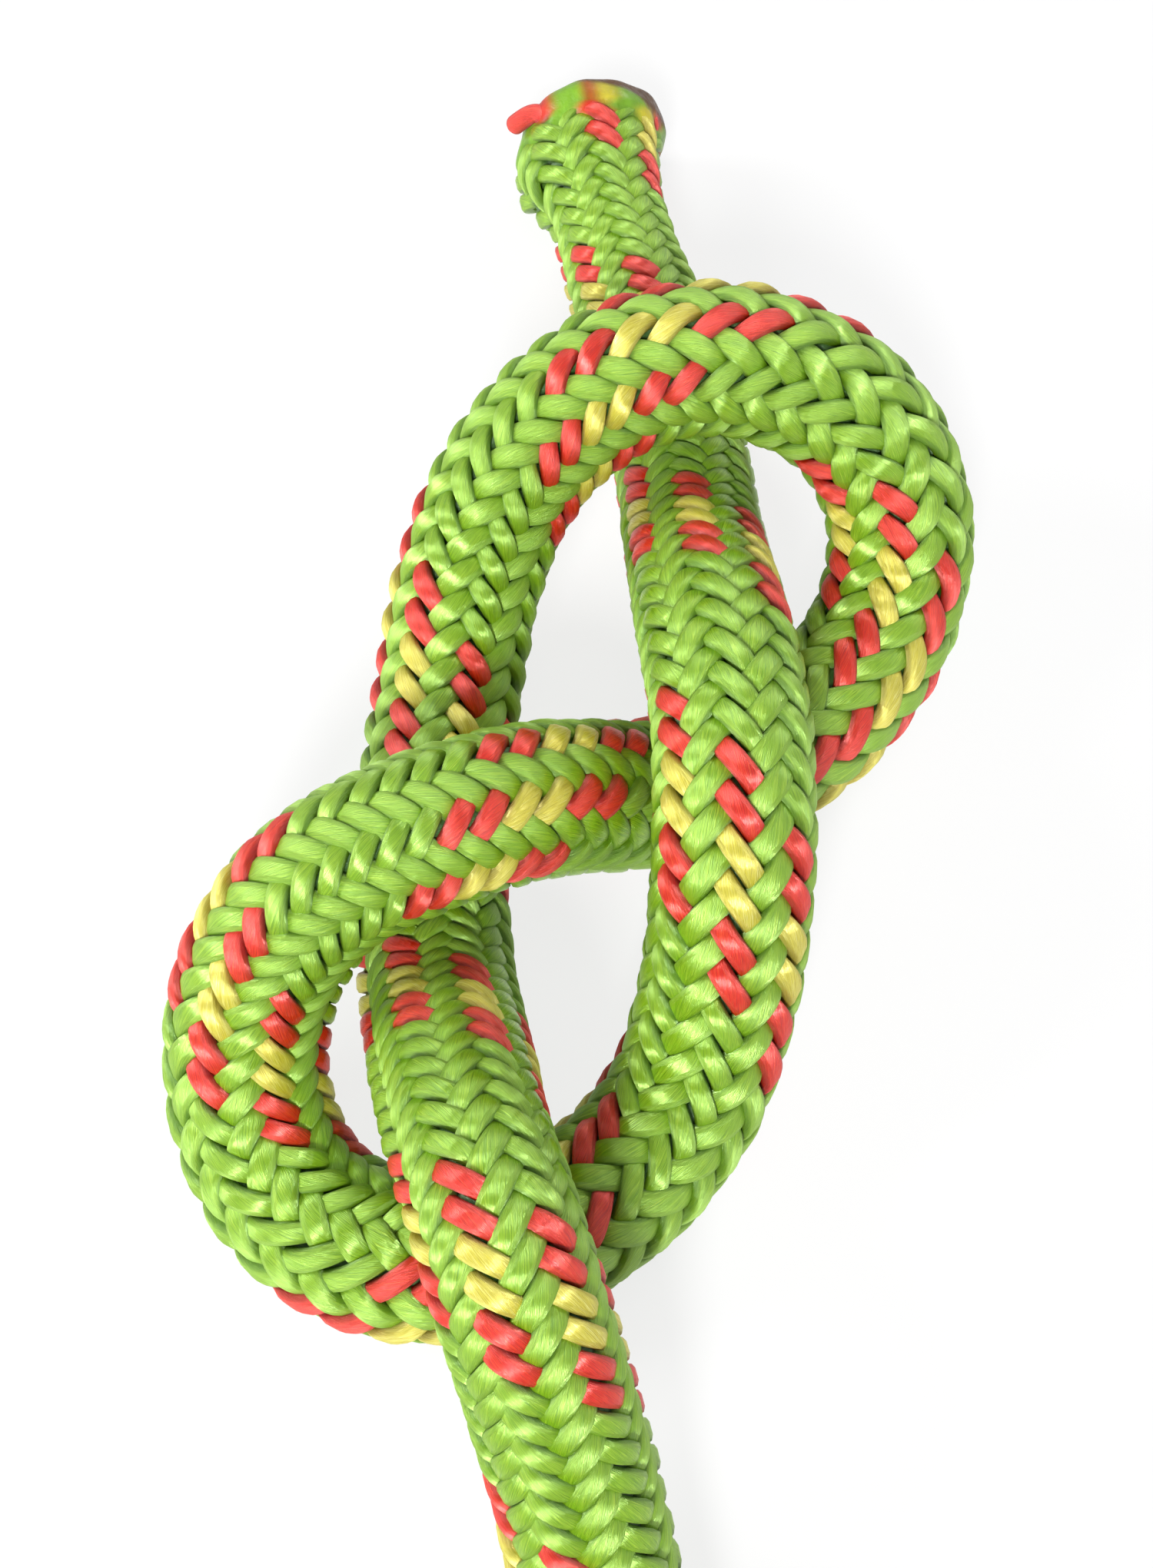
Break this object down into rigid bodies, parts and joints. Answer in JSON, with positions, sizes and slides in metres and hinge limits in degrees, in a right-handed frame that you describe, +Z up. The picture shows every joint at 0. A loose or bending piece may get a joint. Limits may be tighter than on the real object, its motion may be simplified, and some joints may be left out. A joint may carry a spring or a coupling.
{
  "type": "dynamic climbing rope",
  "caption": "Short length of kernmantle climbing rope with a loose figure-eight knot near its sealed tail, the rest tied in a flat hank.",
  "frame": {"origin": "middle of the whole part's box, on the surface that it lies on", "axes": "+Y along the part towards the knot's free tail, +Z up from the surface, +X to the right seen from above"},
  "size_m": [0.066, 0.3828, 0.0284],
  "materials": {
    "sheath_yarn": "silky braided polyamide yarn, lime green with red and pale yellow tracers",
    "core_yarn": "undyed twisted polyamide",
    "tie_webbing": "dark woven webbing",
    "melted_end": "melted and set polyamide, satin, uneven"
  },
  "bodies": {
    "root": {"sheath": "sheath_yarn", "core_strand_1": "core_yarn", "core_strand_2": "core_yarn", "core_strand_3": "core_yarn", "core_strand_4": "core_yarn", "core_strand_5": "core_yarn", "core_strand_6": "core_yarn", "core_strand_7": "core_yarn", "hank": "sheath_yarn", "hank_tie": "tie_webbing", "tail_end_seal": "melted_end", "hank_end_seal": "melted_end"}
  },
  "joints": []
}
